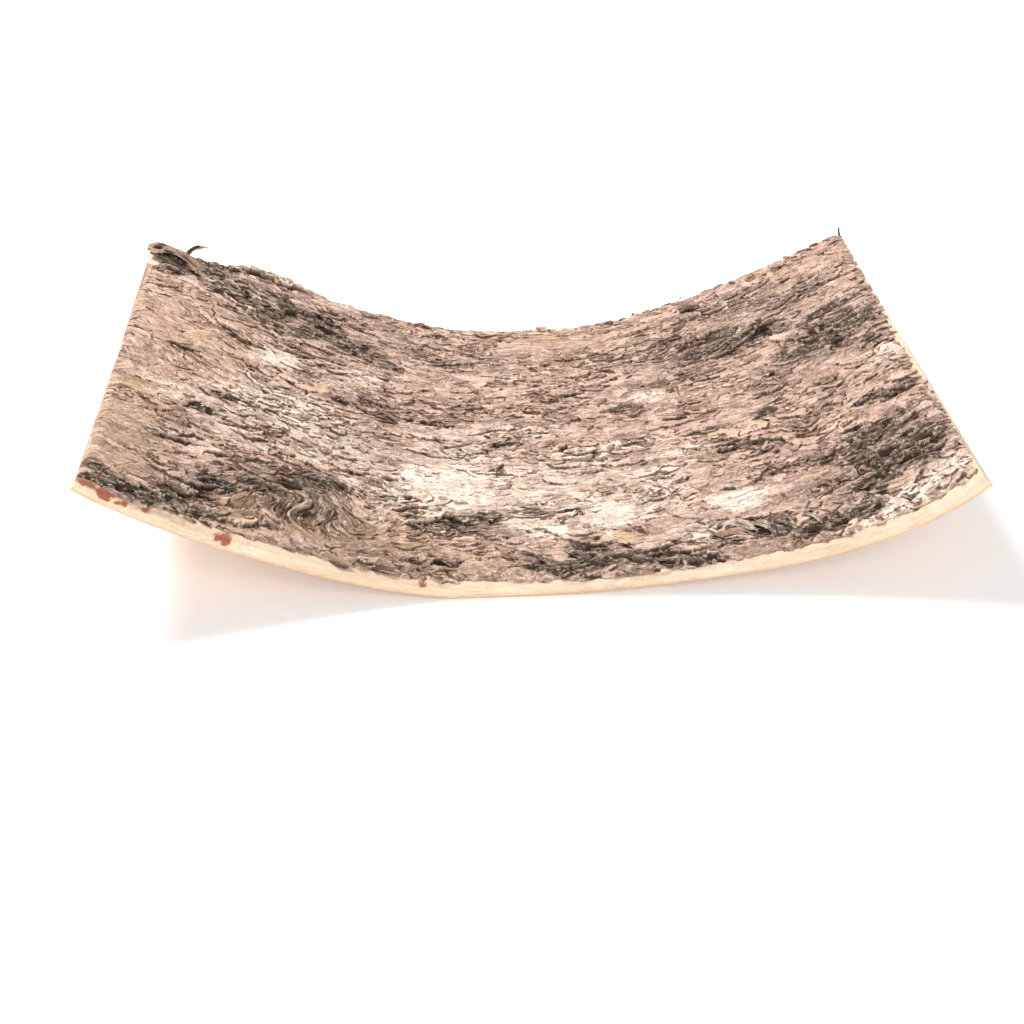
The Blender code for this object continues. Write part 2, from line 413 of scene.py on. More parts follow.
def crust_fields():
    """Rasters of the crust: its height over the inner bark, tones, painted shade in its hollows and under
    lifted edges, painted highlights, and stains.
    """
    s, y = np.meshgrid(RASTER_S, RASTER_Y)
    lie = grain(s, y)
    busy = rise(-0.55, 0.6, layered_noise(s / 17, lie / 10, 72, 2))
    strip = rise(*STRIP_RISES, s) * rise(*STRIP_SINKS, s)
    charcoal = stains(s, y, CHARCOAL, 101) * (1 - strip * rise(94.4, 95.6, y))
    roughness = np.maximum((0.24 + 0.92 * busy) * (1 - stains(s, y, SMOOTH, 71)), 1.1 * charcoal)
    roughness = np.clip(soften(roughness, 2, 3), 0.06, 1.2)
    inside, ridges, lump = knot_relief(s, y)
    height = CRUST + 0.5 * layered_noise(s / 24, lie / 12, 81) + 0.3 * noise(s / 7, lie / 4, 82) * roughness
    edge_strip = STRIP_HEIGHT * rise(93.5, 96.0, y) * strip
    edge_bumps = 0.9 * rise(91, 97, y) * layered_noise(s / 4.5, y / 5, 106)
    height = height + lump + 1.5 * inside * np.abs(ridges) ** 1.3
    shades = {
        "tone": 0.5 + 0.25 * noise(s / 9, lie / 2.4, 83), "tint": 0.5 + 0.3 * noise(s / 6, lie / 2, 84),
        "painted_shade": 0 * s, "painted_highlight": 0 * s,
    }
    lay_scales(height, shades, roughness * (1 - 0.65 * inside), s, y)

    cracks = np.abs(noise(s / 9 + 0.4 * noise(s / 3, y / 3, 91), lie / 3.2, 92))
    gate = rise(0.05, 0.5, noise(s / 14, lie / 7, 93))
    crack_depth = rise(0.06, 0.0, cracks) * gate * (0.45 + 0.5 * roughness)
    fine = np.abs(noise(s / 6, lie / 1.5, 94))
    fine_gate = rise(0.15, 0.5, noise(s / 8, lie / 4, 95))
    crack_depth = np.maximum(crack_depth, 0.5 * rise(0.1, 0.0, fine) * fine_gate)
    strip_crack = np.exp(-((y - STRIP_CRACK - 0.6 * noise(s / 9, 0, 105)) / 0.7) ** 2) * strip
    split_depth, split_lip = torn_splits(s, y, lie, roughness * (1 - inside))
    crack_depth = np.maximum(np.maximum(crack_depth, 1.1 * strip_crack), split_depth)
    height = height + 0.5 * split_lip
    # Painted highlight on the lifted lips behind the splits
    shades["painted_highlight"] = np.maximum(shades["painted_highlight"], 0.75 * split_lip)
    height = height - 0.8 * crack_depth
    height = height + 0.09 * noise(s / 1.8, lie / 1.1, 96) + 0.06 * noise(s / 0.8, y / 1.0, 97)

    torn, any_gap = rim_gaps(s, y)
    pits = rise(0.1, 0.6, noise(s / 3.2, lie / 1.8, 98)) * rise(0.35, 0.8, charcoal)
    height = height - 0.7 * pits
    height = np.clip(height + edge_bumps, 0.2, 4.4) * (0.3 + 0.7 * rise(-0.2, 5.0, torn)) + edge_strip

    # Painted shade: darker under lifted edges, in small and broad hollows, in cracks and pits, and in the
    # knot's furrows
    painted_shade = np.maximum(0.95 * shades["painted_shade"], np.clip((soften(height, 1, 2) - height - 0.07) / 0.35, 0, 1))
    painted_shade = np.maximum(painted_shade, np.clip((soften(height, 9, 14) - height - 0.3) / 1.3, 0, 0.75))
    painted_shade = np.maximum(np.maximum(painted_shade, 0.9 * crack_depth), 0.8 * pits)
    painted_shade = np.maximum(painted_shade, 0.42 * inside * rise(0.1, -0.6, ridges))
    # Painted highlight on the knot's ridge tops
    shades["painted_highlight"] = np.maximum(shades["painted_highlight"], 0.7 * inside * rise(0.7, 1.0, ridges))
    shades["painted_shade"] = 0.45 * painted_shade + 0.55 * soften(painted_shade, 1, 1)
    streaks = 0.2 * noise(s / 2.6, lie / 0.7, 99) + 0.14 * noise(s / 1.0, lie / 0.8, 100)
    shades["tone"] = shades["tone"] + streaks
    return {
        "height": height, **shades, "busy": roughness,
        "charcoal": charcoal, "pale": stains(s, y, PALE, 102),
        "warm": stains(s, y, WARM, 103), "bare": rise(0.35, -0.05, any_gap),
    }


def sample(field, s, y):
    """Read a raster between its cells."""
    column = np.clip((s + ARC / 2) / CELL_S, 0, field.shape[1] - 1.001)
    row = np.clip((y + DEPTH / 2) / CELL_Y, 0, field.shape[0] - 1.001)
    i, j = row.astype(int), column.astype(int)
    v, u = row - i, column - j
    near = field[i, j] * (1 - u) + field[i, j + 1] * u
    far = field[i + 1, j] * (1 - u) + field[i + 1, j + 1] * u
    return near * (1 - v) + far * v


FIELDS = crust_fields()
SHADES = ("tone", "tint", "painted_shade", "painted_highlight", "busy", "charcoal", "pale", "warm")


# ---------------------------------------------------------------- meshes and objects

def grid(cells_long, cells_wide, reach):
    """A bmesh with one flat grid, reach either way from the origin."""
    bm = bmesh.new()
    bmesh.ops.create_grid(bm, x_segments=cells_long, y_segments=cells_wide, size=reach)
    return bm


def show(name, data):
    """Put an object of the data in the scene."""
    shown = bpy.data.objects.new(name, data)
    bpy.context.scene.collection.objects.link(shown)
    return shown


def finish_piece(name, bm, material, positions, s, y, values, sharp=38.0):
    """Make a piece of a bmesh: its vertices' places, UVs that follow the grain, and its values.

    s and y are where each vertex reads the textures, and a value may be one number for many vertices.
    """
    mesh = bpy.data.meshes.new(name)
    bm.to_mesh(mesh)
    bm.free()
    mesh.vertices.foreach_set("co", np.ascontiguousarray(positions, np.float32).ravel())
    corners = np.empty(len(mesh.loops), np.int32)
    mesh.loops.foreach_get("vertex_index", corners)
    layer = mesh.uv_layers.new(name="sheet")
    uv = np.stack((s.ravel(), grain(s, y).ravel()), -1)[corners]
    layer.data.foreach_set("uv", uv.astype(np.float32).ravel() * MM)
    for key, value in values.items():
        attribute = mesh.attributes.new(key, "FLOAT", "POINT")
        attribute.data.foreach_set("value", np.broadcast_to(value, s.shape).astype(np.float32).ravel())
    mesh.shade_smooth()
    mesh.set_sharp_from_angle(angle=math.radians(sharp))
    mesh.materials.append(material)
    mesh.update()
    piece = show(name, mesh)
    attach(piece, "root")
    return piece


def vertex_grid(bm):
    """The bmesh's vertex places as an array."""
    return np.array([vert.co[:] for vert in bm.verts])


def sheet_values(s, y):
    return {key: sample(FIELDS[key], s, y) for key in SHADES}


def crust_tile(name, material, low_s, high_s, low_y, high_y):
    """One tile of the crust: a fine grid on top, closed below by long strips from front to back."""
    along, across = round((high_s - low_s) / CELL_S), round((high_y - low_y) / CELL_Y)
    bm = grid(along, across, 0.5)
    rim = [edge for edge in bm.edges if edge.is_boundary]
    skirt = bmesh.ops.extrude_edge_only(bm, edges=rim)["geom"]
    skirt_verts = [item for item in skirt if isinstance(item, bmesh.types.BMVert)]
    bmesh.ops.translate(bm, verts=skirt_verts, vec=(0, 0, -1))
    low_rim = [edge for edge in bm.edges if edge.is_boundary]
    ends = [edge for edge in low_rim if abs(edge.verts[0].co.y - edge.verts[1].co.y) < 1e-6]
    bmesh.ops.bridge_loops(bm, edges=ends)
    bmesh.ops.holes_fill(bm, edges=[edge for edge in bm.edges if edge.is_boundary], sides=0)
    bmesh.ops.recalc_face_normals(bm, faces=bm.faces[:])
    flat = vertex_grid(bm)
    s = low_s + (flat[:, 0] + 0.5) * (high_s - low_s)
    y = low_y + (flat[:, 1] + 0.5) * (high_y - low_y)
    base = inner_top(s, y)
    bare = sample(FIELDS["bare"], s, y)
    top = base + sample(FIELDS["height"], s, y) * (1 - bare) - BARE_SINK * bare
    below = flat[:, 2] < -0.5
    h = np.where(below, base - BARE_SINK - 0.25, top)
    # The textures run on down the side walls, as if these were folded up level with the top
    over_s, over_y = (
        WALL_REACH * below * np.sign(side) * (np.abs(side) > GRID_RIM) for side in flat[:, :2].T
    )
    values = sheet_values(s - 2 * over_s, y - 2 * over_y)
    # The side walls get an even painted shade
    values["painted_shade"] = np.where(below, 0.3, values["painted_shade"])
    return finish_piece(name, bm, material, on_sheet(s, y, h), s + over_s, y + over_y, values)


def outer_crust(material):
    """The crust, in eight tiles that meet edge to edge."""
    left, right = 0.1 - HALF_ARC, HALF_ARC - 0.35
    front, back = 0.9 - HALF_DEPTH, HALF_DEPTH - 0.1
    columns = np.linspace(left, right, 5)
    rows = (("front", front, 0.0), ("back", 0.0, back))
    return [
        crust_tile(f"outer_bark_{row}_{column}", material, *columns[column - 1:column + 1], low, high)
        for row, low, high in rows for column in range(1, 5)
    ]


def inner_bark(material):
    """The cream inner bark: a closed sheet with softened rims, cut edges and a smooth underside."""
    along, across, plies = 460, 84, 9
    bm = grid(along, across, 0.5)
    upper = bmesh.ops.extrude_face_region(bm, geom=bm.faces[:], use_keep_orig=True)["geom"]
    upper_verts = [item for item in upper if isinstance(item, bmesh.types.BMVert)]
    bmesh.ops.translate(bm, verts=upper_verts, vec=(0, 0, 1))
    uprights = [edge for edge in bm.edges if abs(edge.verts[0].co.z - edge.verts[1].co.z) > 0.5]
    bmesh.ops.subdivide_edges(bm, edges=uprights, cuts=plies - 1, use_grid_fill=True)
    bmesh.ops.recalc_face_normals(bm, faces=bm.faces[:])
    flat = vertex_grid(bm)
    # The grid's rows crowd towards the cut edges
    u, v = flat[:, 0] * 2, flat[:, 1] * 2
    u = np.sign(u) * (1 - (1 - np.abs(u)) ** 1.12)
    v = np.sign(v) * (1 - (1 - np.abs(v)) ** 1.3)
    level = flat[:, 2]
    at_front, at_back = flat[:, 1] < -GRID_RIM, flat[:, 1] > GRID_RIM
    at_left, at_right = flat[:, 0] < -GRID_RIM, flat[:, 0] > GRID_RIM
    s, y = u * HALF_ARC, v * HALF_DEPTH
    # The cut edges lean inwards and are stepped by the bark's year layers
    strata = 0.12 * noise(s / 9, y / 9 + level * 5, 201) + 0.07 * noise(s / 2.5, y / 2.5 + level * 12, 202)
    lean = 0.5 * level ** 2
    y = y + (strata + lean) * at_front - (strata + lean) * at_back
    s = s + (strata + lean) * at_left - (strata + lean) * at_right
    top = inner_top(s, y) + 0.06 * noise(s / 5, y / 0.7, 203) + 0.04 * noise(s / 1.2, y / 0.8, 204)
    flat_belly = on_sheet(s, y, 0 * s)[:, 2] < 1e-6      # where the underside rests on the floor
    under = np.where(flat_belly, 0.0, 0.12 * layered_noise(s / 11, y / 6, 205) + 0.13)
    h = under * (1 - level) + top * level
    cut = at_front | at_back | at_left | at_right
    down = (1 - level) * INNER_TOP
    over_s = s + down * at_right - down * at_left
    over_y = y + down * at_back - down * at_front
    # The textures run on down the cut edges, as if these were folded up level with the top
    values = {
        "level": level, "cut": cut.astype(float), "underside": (level < 0.01).astype(float),
        "film": film_patches(over_s, over_y), "grime": rim_grime(over_s, over_y),
    }
    return finish_piece("inner_bark", bm, material, on_sheet(s, y, h), over_s, over_y, values, 50.0)


def film_patches(s, y):
    """Red-brown film left here and there on the front rim."""
    ragged = 0.35 * noise(s / 1.3, y / 1.2, 211) + 0.6 * noise(s / 2.8, y / 2.6, 212)
    total = 0 * s
    for s0, y0, reach in FILM_PATCHES:
        distance = np.hypot((s - s0) / reach, (y - y0) / 1.8)
        total = np.maximum(total, rise(1.05, 0.85, distance + ragged))
    return total


def rim_grime(s, y):
    """Grey-brown dirt and torn shreds on the bare rim, next to the crust."""
    near_crust = rise(0.02, 0.9, 1 - sample(soften(FIELDS["bare"], 5, 5), s, y))
    smudges = near_crust * rise(0.0, 0.6, 0.35 + layered_noise(s / 3, y / 1.2, 221))
    return np.maximum(smudges, stains(s, y, RIM_DIRT, 222) * rise(-0.3, 0.3, noise(s / 1.6, y / 0.9, 223)))


# ---------------------------------------------------------------- lifted scales

def scale_template(cells_long, cells_wide):
    """One flat scale, two units long and wide, with a little thickness."""
    bm = grid(cells_long, cells_wide, 1.0)
    bmesh.ops.solidify(bm, geom=bm.faces[:], thickness=0.1)
    bmesh.ops.recalc_face_normals(bm, faces=bm.faces[:])
    template = bpy.data.meshes.new("scale_template")
    bm.to_mesh(template)
    bm.free()
    return template


def lifted_scales(name, material, seed, count, long_range, thick, lift_range, cells):
    """Thin torn scales, each held to the crust by one long edge, with the other edge lifted."""
    rng = np.random.default_rng(seed)
    template = scale_template(*cells)
    bm = bmesh.new()
    places = []
    while len(places) < count:
        s0, y0 = rng.uniform(-HALF_ARC + 3, HALF_ARC - 3), rng.uniform(-HALF_DEPTH + 2, HALF_DEPTH - 1)
        here = np.array([s0]), np.array([y0])
        rough, bare = sample(FIELDS["busy"], *here)[0], sample(FIELDS["bare"], *here)[0]
        if bare < 0.5 and rng.uniform() < rough ** 2:
            places.append((s0, y0))
            bm.from_mesh(template)
    bpy.data.meshes.remove(template)
    flat = vertex_grid(bm).reshape(count, -1, 3)
    p, q, up = flat[..., 0], flat[..., 1], flat[..., 2] > 0.01
    s0, y0 = (np.array(places)[:, [axis]] for axis in (0, 1))

    half_length = np.exp(rng.uniform(math.log(long_range[0]), math.log(long_range[1]), (count, 1)))
    half_width = half_length * rng.uniform(0.35, 0.8, (count, 1)) + 0.2
    lift = rng.uniform(*lift_range, (count, 1))
    facing = np.where(rng.uniform(size=(count, 1)) < 0.65, 1.0, -1.0)
    turn = rng.normal(0, 0.5, (count, 1))
    taper = rng.uniform(0.25, 0.85, (count, 1))
    ragged = noise(p * 2.3 + 31 * rng.uniform(size=(count, 1)), q * 1.7 + np.arange(count)[:, None], seed)
    width = (1 - taper * np.abs(p) ** 2.2) * (1 + 0.35 * ragged)
    free = (q + 1) / 2
    out = (q * width + 0.25 * noise(p * 1.5, np.arange(count)[:, None] * 1.7, seed + 1)) * half_width
    along = p * half_length * (1 + 0.18 * ragged)
    curl = rng.uniform(0.2, 1.3, (count, 1))
    out = out * (1 - 0.22 * curl * free ** 2)
    bend = rng.uniform(-0.5, 0.9, (count, 1))
    h = lift * (free ** 1.4 + bend * 0.35 * p ** 2 * free) - 0.25
    h = h - curl * 0.25 * lift * np.clip(free - 0.72, 0, 1) ** 2 * 12
    ds = along * np.cos(turn) + out * np.sin(turn) * facing
    dy = along * np.sin(turn) - out * np.cos(turn) * facing
    slope = (grain(s0 + 0.5, y0) - grain(s0 - 0.5, y0)) / (grain(s0, y0 + 0.5) - grain(s0, y0 - 0.5))
    dy = dy - ds * np.clip(slope, -1.5, 1.5)
    s, y = s0 + ds, y0 + dy
    s = np.clip(s, -HALF_ARC - 0.4, HALF_ARC + 0.4)
    y = np.clip(y, -HALF_DEPTH - 0.2, HALF_DEPTH + 0.2)
    ground = inner_top(s0, y0) + sample(FIELDS["height"], s0, y0)
    h = ground + h + up * thick
    values = sheet_values(s0, y0)
    values["tone"] = rng.uniform(0.45, 1.1, (count, 1))
    values["tint"] = rng.uniform(0.3, 1.0, (count, 1))
    # Painted shade on each scale's underside and attached part, painted highlight along its lifted free edge
    values["painted_shade"] = 0.1 * (1 - free) ** 3 + 0.4 * (~up) * (1 - free)
    values["painted_highlight"] = 0.9 * free ** 3
    return finish_piece(name, bm, material, on_sheet(s, y, h), s, y, values)


# ---------------------------------------------------------------- peels placed one by one

# Each peel: its start and end (s, y, height over the inner bark), then its width, the height of
# its arch, how far it is curled across and how far it leans, in degrees, how much its two ends
# narrow, its tone and tint, and how sooty it is. A peel curled by less than 0 is convex upwards.
CORNER_FLAP = (
    ((-150.4, 97.6, 4.5), (-126.5, 85, 0.9), 11, 2.5, -165, -4, 0.12, 0.35, 0.68, 0.7, 0.08),
    ((-149, 96, 2.4), (-128, 83, 0.5), 8, 1.6, -130, 8, 0.3, 0.4, 0.3, 0.6, 0.7),
    ((-141, 96.6, 2.8), (-124, 87, 1.1), 6, 1, -120, 6, 0.5, 0.6, 0.9, 0.9, 0),
    ((-136, 90, 1.4), (-123, 80.5, 0.7), 5.5, 0.8, -100, -10, 0.5, 0.6, 0.75, 0.6, 0.1),
    ((-145, 88, 0.9), (-135, 83, 0.7), 3.4, 0.4, -60, 16, 0.6, 0.6, 0.3, 0.3, 0.8),
)
BACK_EDGE = (
    ((-137, 97, 1.6), (-128.5, 99.2, 7.6), 3.8, 0.5, 90, 20, 0.3, 1, 0.95, 0.95, 0),
    ((-117, 97.4, 3.3), (-88, 97.6, 2.5), 3.8, 0.2, -60, 0, 0.85, 0.8, 1.05, 0.85, 0),
    ((-103, 97.2, 2.9), (-74, 97.6, 1.3), 3.4, 0.2, -60, 0, 0.8, 0.8, 1, 0.75, 0),
    ((-117, 96, 2.4), (-109, 92, 1.6), 3.2, 0.6, -60, 0, 0.6, 0.6, 0.6, 0.9, 0.2),
    ((56.2, 97.8, 0.7), (57.8, 98.6, 2.7), 2.2, 0.3, -70, 10, 0.2, 0.5, 0.3, 0.4, 0.5),
    ((60.5, 97.8, 0.8), (62, 98.4, 2), 2, 0.3, -70, -10, 0.2, 0.5, 0.3, 0.4, 0.6),
    ((76.5, 97.8, 0.8), (79.5, 98.6, 2.8), 1.6, 0.5, -60, -20, 0.2, 0.4, 0.5, 0.4, 0.4),
    ((82.5, 97.8, 0.8), (79.8, 98.6, 2.9), 1.6, 0.5, -60, 20, 0.2, 0.4, 0.45, 0.4, 0.4),
    ((92, 97.6, 0.8), (98, 98, 1.3), 2.6, 0.5, -80, 0, 0.5, 0.6, 0.6, 0.5, 0.2),
    ((103, 97.6, 0.8), (110, 98, 1.2), 2.8, 0.5, -80, 0, 0.5, 0.6, 0.7, 0.6, 0.1),
    ((149.4, 97.6, 1), (150.4, 99.4, 4.8), 1.1, 0.2, 60, 10, 0.3, 1, 0.4, 0.4, 0.3),
)
SHELL = (
    ((60, -79.5, 1.5), (75.5, -82.5, 0.9), 10.5, 2.9, -150, -12, 0.5, 0.55, 1.1, 0.5, 0),
    ((61, -82.4, 1.3), (75, -84.8, 0.8), 7.6, 2.3, -160, -14, 0.5, 0.5, 0.8, 0.4, 0.1),
    ((62, -84.8, 1.1), (74, -86.8, 0.7), 5.4, 1.7, -170, -16, 0.5, 0.5, 1.1, 0.6, 0),
    ((63, -86.8, 0.9), (73, -88.2, 0.6), 3.6, 1.2, -170, -18, 0.5, 0.5, 0.7, 0.4, 0.2),
    ((74.5, -80.5, 0.9), (80.5, -88.5, 0.7), 4.4, 1.9, 150, 25, 0.5, 0.6, 1.1, 0.6, 0),
    ((58, -84, 0.9), (65, -90.5, 0.5), 3.4, 1, 120, 20, 0.6, 0.7, 0.95, 0.4, 0.1),
)
PEELS = (
    ((98.5, -67.5, 0.9), (104, -72.5, 1), 4.6, 0.8, 40, 40, 0.5, 0.7, 0.9, 0.5, 0),
    ((106.5, -67, 0.9), (104.5, -73, 0.9), 3.6, 0.6, 40, -34, 0.5, 0.7, 0.8, 0.6, 0.1),
    ((81.5, -82, 1), (89, -89, 1.2), 2.6, 1.8, 110, 20, 0.4, 0.8, 1.1, 0.7, 0),
    ((91, -80.5, 1), (97, -88.5, 1.2), 2.8, 2.1, 140, 30, 0.5, 0.8, 1.15, 0.8, 0),
    ((96.5, -80, 0.8), (102, -86.5, 0.8), 2.4, 1, 90, -25, 0.5, 0.7, 0.95, 0.5, 0),
    ((84, -78, 0.8), (90, -80.5, 0.8), 2.6, 0.7, 80, 10, 0.6, 0.7, 0.8, 0.4, 0.2),
    ((43, -84, 0.8), (51, -88, 0.9), 3.6, 1, 120, 18, 0.6, 0.6, 0.6, 0.3, 0.4),
    ((28, -79, 0.8), (34, -86, 0.7), 3.4, 0.9, 100, -20, 0.6, 0.6, 0.5, 0.3, 0.5),
    ((12, -84, 0.9), (20, -89, 0.7), 3.8, 1, 110, 16, 0.6, 0.6, 0.6, 0.3, 0.4),
    ((-12, -82, 0.9), (-4, -88, 0.8), 3.6, 1, 120, 16, 0.6, 0.6, 0.8, 0.5, 0.1),
    ((-33, -85, 0.9), (-25, -90, 0.8), 3.6, 1.1, 120, 20, 0.6, 0.6, 0.75, 0.6, 0.1),
    ((-52, -84, 0.9), (-44, -91, 0.8), 3.8, 1.2, 130, 18, 0.6, 0.6, 0.8, 0.6, 0.1),
    ((-22, -66, 0.9), (-11, -69, 1), 3.6, 1.4, 100, 24, 0.6, 0.7, 0.75, 0.6, 0.2),
    ((-44, -66, 0.8), (-34, -70, 0.8), 3.2, 1.2, 90, -20, 0.6, 0.7, 0.6, 0.5, 0.3),
    ((-58, 6, 0.9), (-46, 2, 1.2), 5, 1.4, 70, 24, 0.6, 0.7, 0.45, 0.15, 0.2),
    ((-66, 12, 0.9), (-56, 4, 1.2), 4.2, 1.2, 80, 30, 0.6, 0.7, 0.6, 0.3, 0.2),
    ((-20, 40, 0.9), (-12, 34, 1.2), 4.6, 1.2, 70, 26, 0.6, 0.7, 0.8, 0.8, 0),
    ((5, 33, 0.9), (13, 31, 1), 4.6, 1, 70, 26, 0.6, 0.7, 0.9, 0.9, 0),
    ((36, 52, 0.9), (44, 48, 1), 4.2, 1.2, 80, -26, 0.6, 0.7, 0.7, 0.5, 0.1),
)
RIM_SHREDS = tuple(
    ((s0, y0, 0.1), (s0 + 5, y0 - turn, 0.25), width, 0.35, 70, 8, 0.7, 0.8, tone, 0.6, soot)
    for s0, y0, turn, width, tone, soot in (
        (-122, -94, 1.4, 2.2, 0.3, 0.5), (-116, -95.5, 0.8, 1.8, 0.6, 0.1),
        (-111, -94.6, 1.6, 1.6, 0.5, 0.3), (-105, -95.8, -0.8, 1.6, 0.8, 0),
        (-97, -95.4, 0.8, 1.5, 0.6, 0.1), (-84, -95.6, 1, 1.4, 0.7, 0.1),
        (57, -97.4, -1.6, 1.8, 1.1, 0), (62, -96.6, -1.8, 2, 1, 0),
        (68, -95.8, -1.2, 1.8, 1.1, 0), (97, -93.2, -1.2, 1.6, 0.9, 0),
        (104, -92, -1.4, 1.6, 1, 0), (118, -91.4, 0.6, 1.8, 1, 0),
    )
)


def placed_peels(name, material, peels, cells, thick):
    """Torn strips of bark, each arched and curled as its row says, in a mesh of cells, thick in mm."""
    template = scale_template(*cells)
    bm = bmesh.new()
    for _ in peels:
        bm.from_mesh(template)
    bpy.data.meshes.remove(template)
    flat = vertex_grid(bm).reshape(len(peels), -1, 3)
    columns = list(zip(*peels))
    start, end = (np.array(columns[i], float)[:, None, :] for i in (0, 1))
    width, arch, curl, lean, thin_start, thin_end, tone, tint, sooty = (
        np.array(column, float)[:, None] for column in columns[2:]
    )
    row = np.arange(len(peels))[:, None] * 7.3
    along, q, inner = (flat[..., 0] + 1) / 2, flat[..., 1], flat[..., 2] > 0.01
    narrow = 1 - thin_start * (1 - along) ** 3 - thin_end * along ** 3
    ragged = 1 + 0.28 * noise(along * 5 + row, np.sign(q) * 3 + row, 401) * np.abs(q)
    half = width / 2 * narrow * ragged
    angle = np.radians(np.where(np.abs(curl) < 5, 5, curl)) * (0.75 + 0.25 * noise(along * 2, row, 402)) / 2
    radius = half / np.abs(angle)
    bent = radius - np.where(inner, thick, 0) * np.sign(angle)
    side = bent * np.sin(q * np.abs(angle))
    up = np.sign(angle) * (radius - bent * np.cos(q * np.abs(angle)))
    tilt = np.radians(lean)
    side, up = side * np.cos(tilt) - up * np.sin(tilt), side * np.sin(tilt) + up * np.cos(tilt)
    route = end - start
    length = np.hypot(route[..., 0], route[..., 1])
    wander = 0.12 * length * noise(along * 1.6, row, 403) * along
    s = start[..., 0] + route[..., 0] * along - route[..., 1] / length * (side + wander)
    y = start[..., 1] + route[..., 1] * along + route[..., 0] / length * (side + wander)
    ends = 0.5 * thin_end * along ** 6
    bumps = 0.35 * noise(along * 6 + row, q * 2 + row, 404) * width / 5
    ridged = noise(along * 5 + row, q * 4.5 + row, 405)
    bumps = bumps + (0.32 * ridged + 0.14 * noise(along * 16 + row, q * 9, 406)) * np.minimum(width / 5, 1)
    spine = start[..., 2] + route[..., 2] * along + arch * 4 * along * (1 - along)
    h = inner_top(s, y) + spine + up - ends + bumps
    s = np.clip(s, -HALF_ARC - 0.3, HALF_ARC + 0.3)
    y = np.clip(y, -HALF_DEPTH - 0.1, HALF_DEPTH + 0.1)
    # Painted light on the peels: painted shade on one face and in the furrows, lighter tone and painted
    # highlight on ridge tops and curled edges
    shaded = 0.3 * (inner != (curl > 0)) * (1 - np.abs(q))
    values = {
        "tone": tone + 0.15 * np.abs(q) + 0.45 * ridged, "tint": tint + 0.3 * ridged,
        "painted_shade": np.maximum(shaded, 0.7 * rise(0.12, 0.55, -ridged)), "painted_highlight": 0.8 * np.abs(q) ** 6,
        "busy": 0.5, "charcoal": sooty, "pale": rise(0.95, 1.15, tone), "warm": tint * 0.6,
    }
    return finish_piece(name, bm, material, on_sheet(s, y, h), s, y, values)


# ---------------------------------------------------------------- materials

def link(tree, source, target):
    tree.links.new(source, target)


def add(tree, kind, inputs=None, **settings):
    """Add a node, set its settings, and set or link its inputs."""
    made = tree.nodes.new(kind)
    for key, value in settings.items():
        setattr(made, key, value)
    for key, value in (inputs or {}).items():
        if isinstance(value, bpy.types.NodeSocket):
            tree.links.new(value, made.inputs[key])
        else:
            made.inputs[key].default_value = value
    return made


def maths(tree, operation, *values, clamp=False):
    made = add(tree, "ShaderNodeMath", dict(enumerate(values)), operation=operation, use_clamp=clamp)
    return made.outputs[0]


def times(tree, first, second, clamp=False):
    return maths(tree, "MULTIPLY", first, second, clamp=clamp)


def blend(tree, factor, first, second, mode="MIX"):
    """Mix two colours."""
    made = add(tree, "ShaderNodeMix", {0: factor, 6: first, 7: second}, data_type="RGBA", blend_type=mode)
    return made.outputs[2]


def ramp(tree, value, low, high, to_low=0.0, to_high=1.0):
    """Smooth step of a value, from to_low at low to to_high at high."""
    if low > high:
        low, high, to_low, to_high = high, low, to_high, to_low
    made = add(
        tree, "ShaderNodeMapRange",
        {"Value": value, "From Min": low, "From Max": high, "To Min": to_low, "To Max": to_high},
        interpolation_type="SMOOTHSTEP",
    )
    return made.outputs[0]


def speckle(tree, place, scale_s, scale_y, detail=2.0, seed=0.0):
    """Noise stretched over the sheet, in features of scale_s by scale_y millimetres."""
    shift, scale = (seed, seed * 0.7, 0.0), (1 / MM / scale_s, 1 / MM / scale_y, 1.0)
    mapping = add(tree, "ShaderNodeMapping", {"Vector": place, "Location": shift, "Scale": scale})
    return add(
        tree, "ShaderNodeTexNoise",
        {"Vector": mapping.outputs[0], "Scale": 1.0, "Detail": detail, "Roughness": 0.6},
    ).outputs["Fac"]


def value_of(tree, name):
    return add(tree, "ShaderNodeAttribute", attribute_name=name).outputs["Fac"]


def plain_material(name):
    """A new material, with its nodes and its shader."""
    material = bpy.data.materials.new(name)
    material.use_nodes = True
    return material, material.node_tree, material.node_tree.nodes["Principled BSDF"]


def new_group(name, inputs, outputs):
    """A shader node group with named inputs and outputs: name, socket type, default."""
    group = bpy.data.node_groups.new(name, "ShaderNodeTree")
    for label, kind, default in inputs:
        socket = group.interface.new_socket(name=label, in_out="INPUT", socket_type=kind)
        if default is not None:
            socket.default_value = default
    for label, kind in outputs:
        group.interface.new_socket(name=label, in_out="OUTPUT", socket_type=kind)
    entry = group.nodes.new("NodeGroupInput")
    return group, entry, group.nodes.new("NodeGroupOutput")


